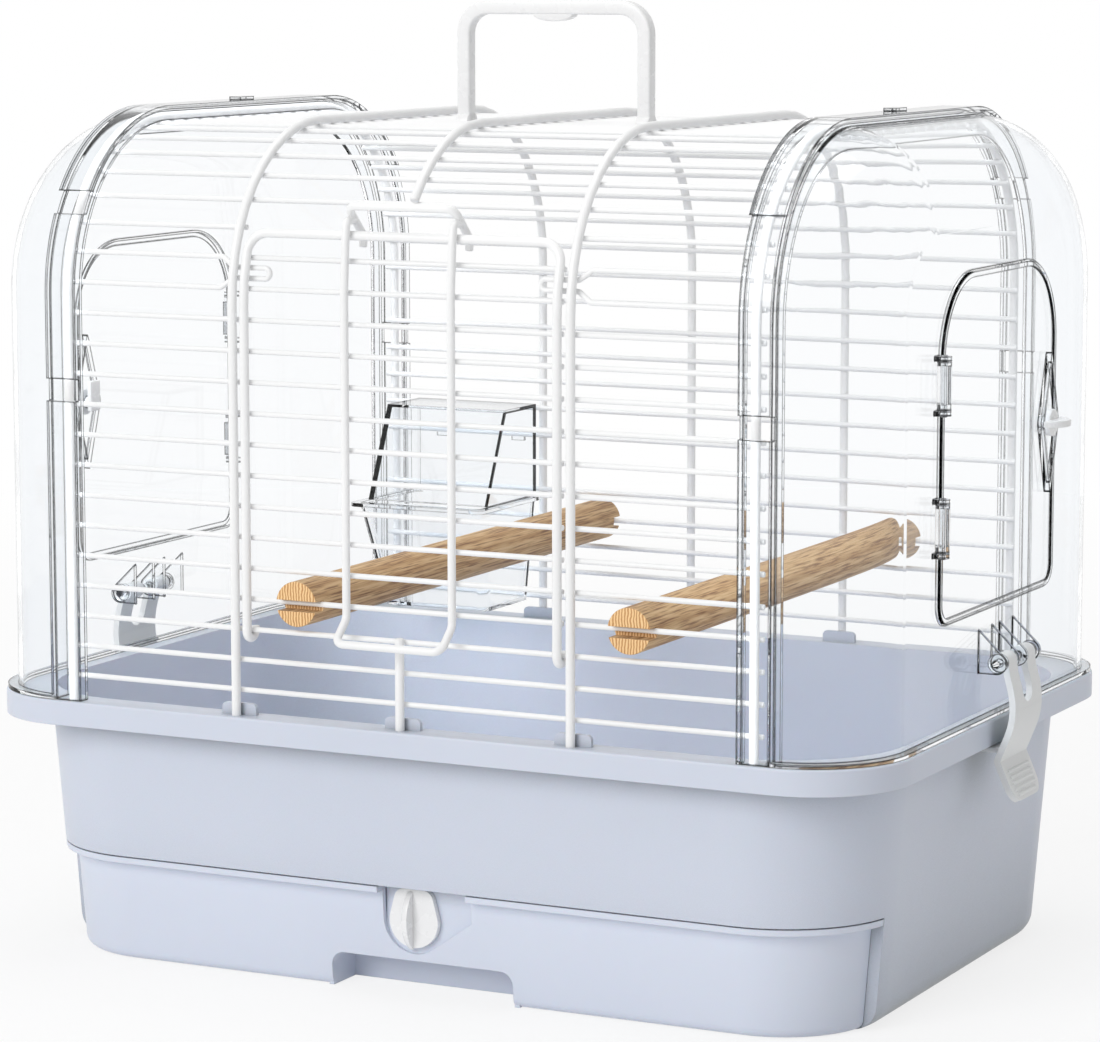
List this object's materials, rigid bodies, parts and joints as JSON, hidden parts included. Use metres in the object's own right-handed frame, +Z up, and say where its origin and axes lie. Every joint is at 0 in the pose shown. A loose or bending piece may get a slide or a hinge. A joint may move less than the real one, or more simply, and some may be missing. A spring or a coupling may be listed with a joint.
{
  "type": "bird travel carrier",
  "caption": "Small pet travel carrier: plastic tub with slide-out tray, white wire tunnel with front door, clear end shells with hinged doors, oak perches, clear feeder and folding handle",
  "frame": {"origin": "middle of the base, on the ground plane the tub stands on", "axes": "+Z up, front with the wire door towards -Y, long side along X"},
  "size_m": [0.4558, 0.3122, 0.4247],
  "materials": {
    "tub_plastic": "moulded polypropylene, soft gloss, pale lilac blue",
    "drawer_plastic": "moulded polypropylene, soft gloss, pale lilac blue",
    "white_knob": "moulded white plastic",
    "hoop_wire": "white powder coat on thick steel wire",
    "cage_wire": "white powder coat on thin steel wire",
    "door_wire": "white powder coat on steel wire",
    "oak": "turned oak, bare",
    "clear_feeder": "clear polystyrene",
    "white_handle": "moulded white plastic",
    "clear_shell": "clear moulded polystyrene",
    "clear_door": "clear moulded polystyrene",
    "white_latch": "moulded white plastic",
    "clear_pin": "clear moulded pin",
    "white_clasp": "moulded white plastic"
  },
  "bodies": {
    "carrier": {"back_wires": "cage_wire", "feeder_cup": "clear_feeder", "feeder_hopper": "clear_feeder", "front_post": "hoop_wire", "front_wires_left": "cage_wire", "front_wires_right": "cage_wire", "hoop_far_left": "hoop_wire", "hoop_far_right": "hoop_wire", "hoop_left": "hoop_wire", "hoop_middle": "hoop_wire", "hoop_right": "hoop_wire", "left_clasp_pin": "clear_pin", "left_hinge_pin_high": "clear_pin", "left_hinge_pin_low": "clear_pin", "left_shell": "clear_shell", "perch_left": "oak", "perch_right": "oak", "right_clasp_pin": "clear_pin", "right_hinge_pin_high": "clear_pin", "right_hinge_pin_low": "clear_pin", "right_shell": "clear_shell", "roof_wires": "cage_wire", "sill_wires": "cage_wire", "stop_wire_left": "cage_wire", "stop_wire_right": "cage_wire", "tub": "tub_plastic"},
    "drawer": {"drawer": "drawer_plastic"},
    "drawer_knob": {"drawer_knob": "white_knob"},
    "front_door": {"front_door_frame": "door_wire", "front_door_wires": "door_wire"},
    "door_bail": {"door_bail": "door_wire"},
    "carry_handle": {"carry_handle": "white_handle"},
    "right_end_door": {"right_end_door": "clear_door"},
    "left_end_door": {"left_end_door": "clear_door"},
    "right_latch_knob": {"right_latch_knob": "white_latch"},
    "left_latch_knob": {"left_latch_knob": "white_latch"},
    "right_clasp": {"right_clasp": "white_clasp"},
    "left_clasp": {"left_clasp": "white_clasp"}
  },
  "joints": [
    {"name": "drawer_slide", "type": "slide", "parent": "carrier", "child": "drawer", "axis": [0, -1, 0], "range_m": [0, 0.22]},
    {"name": "drawer_knob_turn", "type": "hinge", "parent": "drawer", "child": "drawer_knob", "pos_m": [-0.0036, -0.1285, 0.0335], "axis": [0, 1, 0], "range_deg": [0, 90]},
    {"name": "front_door_hinge", "type": "hinge", "parent": "carrier", "child": "front_door", "pos_m": [0, -0.14425, 0.1574], "axis": [1, 0, 0], "range_deg": [0, 50]},
    {"name": "door_bail_slide", "type": "slide", "parent": "front_door", "child": "door_bail", "axis": [0, 0, 1], "range_m": [0, 0.009]},
    {"name": "right_end_door_hinge", "type": "hinge", "parent": "carrier", "child": "right_end_door", "pos_m": [0.2144, -0.0742, 0.24], "axis": [0, 0, -1], "range_deg": [0, 105]},
    {"name": "left_end_door_hinge", "type": "hinge", "parent": "carrier", "child": "left_end_door", "pos_m": [-0.2144, 0.0742, 0.24], "axis": [0, 0, -1], "range_deg": [0, 105]},
    {"name": "right_latch_turn", "type": "hinge", "parent": "right_end_door", "child": "right_latch_knob", "pos_m": [0.2144, 0.0585, 0.2405], "axis": [1, 0, 0], "range_deg": [0, 90]},
    {"name": "left_latch_turn", "type": "hinge", "parent": "left_end_door", "child": "left_latch_knob", "pos_m": [-0.2144, -0.0585, 0.2405], "axis": [-1, 0, 0], "range_deg": [0, 90]},
    {"name": "right_clasp_hinge", "type": "hinge", "parent": "carrier", "child": "right_clasp", "pos_m": [0.2194, 0, 0.1456], "axis": [0, -1, 0], "range_deg": [0, 90]},
    {"name": "left_clasp_hinge", "type": "hinge", "parent": "carrier", "child": "left_clasp", "pos_m": [-0.2194, 0, 0.1456], "axis": [0, 1, 0], "range_deg": [0, 90]},
    {"name": "carry_handle_fold", "type": "hinge", "parent": "carrier", "child": "carry_handle", "pos_m": [0, 0, 0.36915], "axis": [1, 0, 0], "range_deg": [-62, 62]}
  ]
}
